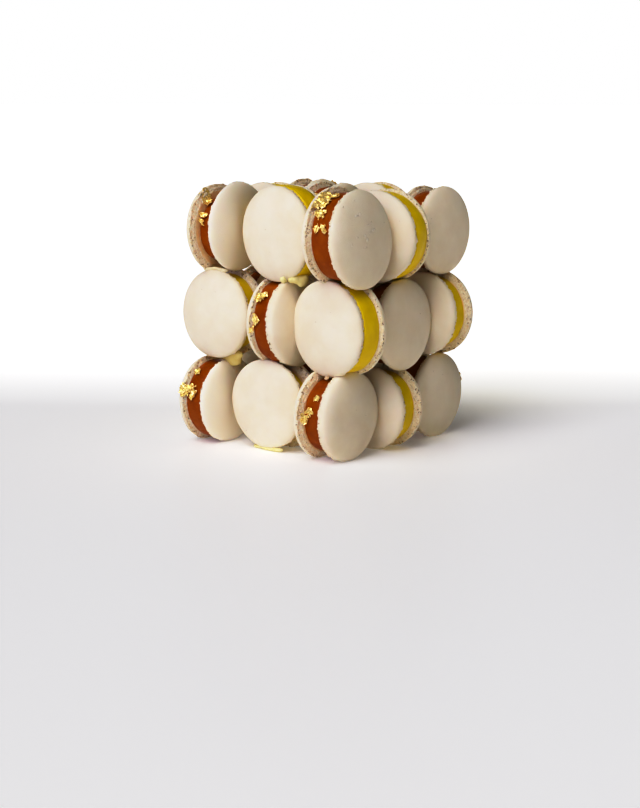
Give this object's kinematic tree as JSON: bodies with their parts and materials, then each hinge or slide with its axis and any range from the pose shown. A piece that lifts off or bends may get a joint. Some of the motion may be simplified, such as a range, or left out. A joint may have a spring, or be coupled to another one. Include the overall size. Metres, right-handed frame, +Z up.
{
  "type": "macaron cake",
  "caption": "Square block of macarons standing on edge in layers, pale shells with caramel and lemon fillings by turns, flecks of gold leaf and dabs of cream.",
  "frame": {"origin": "on the ground under the middle of the block's outline", "axes": "+Z up; the front, with rims of caramel macarons at its corners, faces -Y, and +X is to the right"},
  "size_m": [0.1256, 0.1242, 0.1322],
  "materials": {
    "almond_shell": "matte baked almond meringue with smooth domes and rough, crumbly feet",
    "caramel": "glossy orange-brown caramel",
    "lemon": "satin yellow lemon curd",
    "cream": "soft pale yellow cream",
    "gold_leaf": "bright crumpled gold leaf"
  },
  "bodies": {
    "root": {"caramel_macaron_bottom_front_left": "almond_shell", "lemon_macaron_bottom_front_centre": "almond_shell", "caramel_macaron_bottom_front_right": "almond_shell", "lemon_macaron_bottom_mid_left": "almond_shell", "caramel_macaron_bottom_mid_centre": "almond_shell", "lemon_macaron_bottom_mid_right": "almond_shell", "caramel_macaron_bottom_back_left": "almond_shell", "lemon_macaron_bottom_back_centre": "almond_shell", "caramel_macaron_bottom_back_right": "almond_shell", "lemon_macaron_middle_front_left": "almond_shell", "caramel_macaron_middle_front_centre": "almond_shell", "lemon_macaron_middle_front_right": "almond_shell", "caramel_macaron_middle_mid_left": "almond_shell", "lemon_macaron_middle_mid_centre": "almond_shell", "caramel_macaron_middle_mid_right": "almond_shell", "lemon_macaron_middle_back_left": "almond_shell", "caramel_macaron_middle_back_centre": "almond_shell", "lemon_macaron_middle_back_right": "almond_shell", "caramel_macaron_top_front_left": "almond_shell", "lemon_macaron_top_front_centre": "almond_shell", "caramel_macaron_top_front_right": "almond_shell", "lemon_macaron_top_mid_left": "almond_shell", "caramel_macaron_top_mid_centre": "almond_shell", "lemon_macaron_top_mid_right": "almond_shell", "caramel_macaron_top_back_left": "almond_shell", "lemon_macaron_top_back_centre": "almond_shell", "caramel_macaron_top_back_right": "almond_shell", "cream_top_centre_front": "cream", "cream_top_centre_back": "cream", "cream_top_corner_front": "cream", "cream_top_corner_back": "cream", "cream_middle_centre_front": "cream", "cream_middle_centre_back": "cream", "cream_middle_corner_front": "cream", "cream_middle_corner_back": "cream", "cream_base_front": "cream", "cream_base_back": "cream"}
  },
  "joints": []
}
